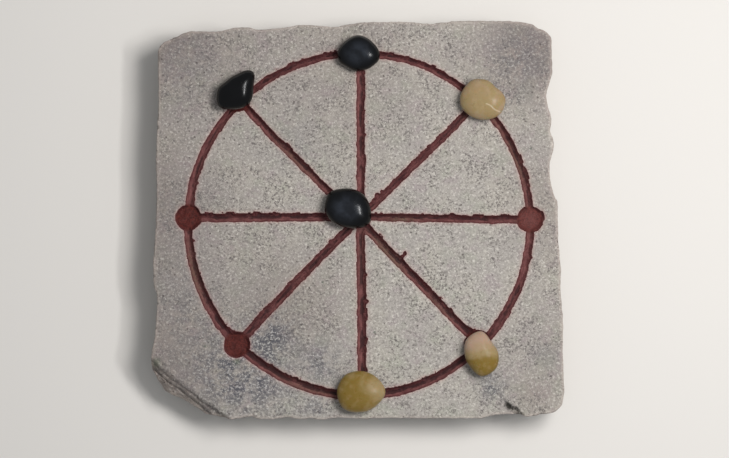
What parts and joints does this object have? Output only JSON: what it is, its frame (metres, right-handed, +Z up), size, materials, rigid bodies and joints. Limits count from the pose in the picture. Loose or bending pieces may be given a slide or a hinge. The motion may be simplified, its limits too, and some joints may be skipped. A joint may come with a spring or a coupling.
{
  "type": "wheel-shaped three-in-a-row stone game board",
  "caption": "Hand-split stone slab carved with a painted wheel of ring, spokes and shallow points, played with polished black and yellow pebbles that lift off.",
  "frame": {"origin": "middle of the slab's underside, seen from above", "axes": "+Z up out of the play surface, +X towards the east point of the wheel, +Y towards its north point"},
  "size_m": [0.3073, 0.2966, 0.0572],
  "materials": {
    "slab_stone": "matte",
    "maroon_paint": "matte",
    "black_pebble_stone": "gloss",
    "yellow_pebble_stone": "gloss"
  },
  "bodies": {
    "board": {"stone_slab": "slab_stone", "groove_paint": "maroon_paint"},
    "pebble_nw": {"black_pebble_nw": "black_pebble_stone"},
    "pebble_n": {"black_pebble_n": "black_pebble_stone"},
    "pebble_centre": {"black_pebble_centre": "black_pebble_stone"},
    "pebble_ne": {"yellow_pebble_ne": "yellow_pebble_stone"},
    "pebble_se": {"yellow_pebble_se": "yellow_pebble_stone"},
    "pebble_s": {"yellow_pebble_s": "yellow_pebble_stone"}
  },
  "joints": [
    {"name": "pebble_nw_lift", "type": "slide", "parent": "board", "child": "pebble_nw", "axis": [0, 0, 1], "range_m": [0, 0.08]},
    {"name": "pebble_n_lift", "type": "slide", "parent": "board", "child": "pebble_n", "axis": [0, 0, 1], "range_m": [0, 0.08]},
    {"name": "pebble_centre_lift", "type": "slide", "parent": "board", "child": "pebble_centre", "axis": [0, 0, 1], "range_m": [0, 0.08]},
    {"name": "pebble_ne_lift", "type": "slide", "parent": "board", "child": "pebble_ne", "axis": [0, 0, 1], "range_m": [0, 0.08]},
    {"name": "pebble_se_lift", "type": "slide", "parent": "board", "child": "pebble_se", "axis": [0, 0, 1], "range_m": [0, 0.08]},
    {"name": "pebble_s_lift", "type": "slide", "parent": "board", "child": "pebble_s", "axis": [0, 0, 1], "range_m": [0, 0.08]}
  ]
}
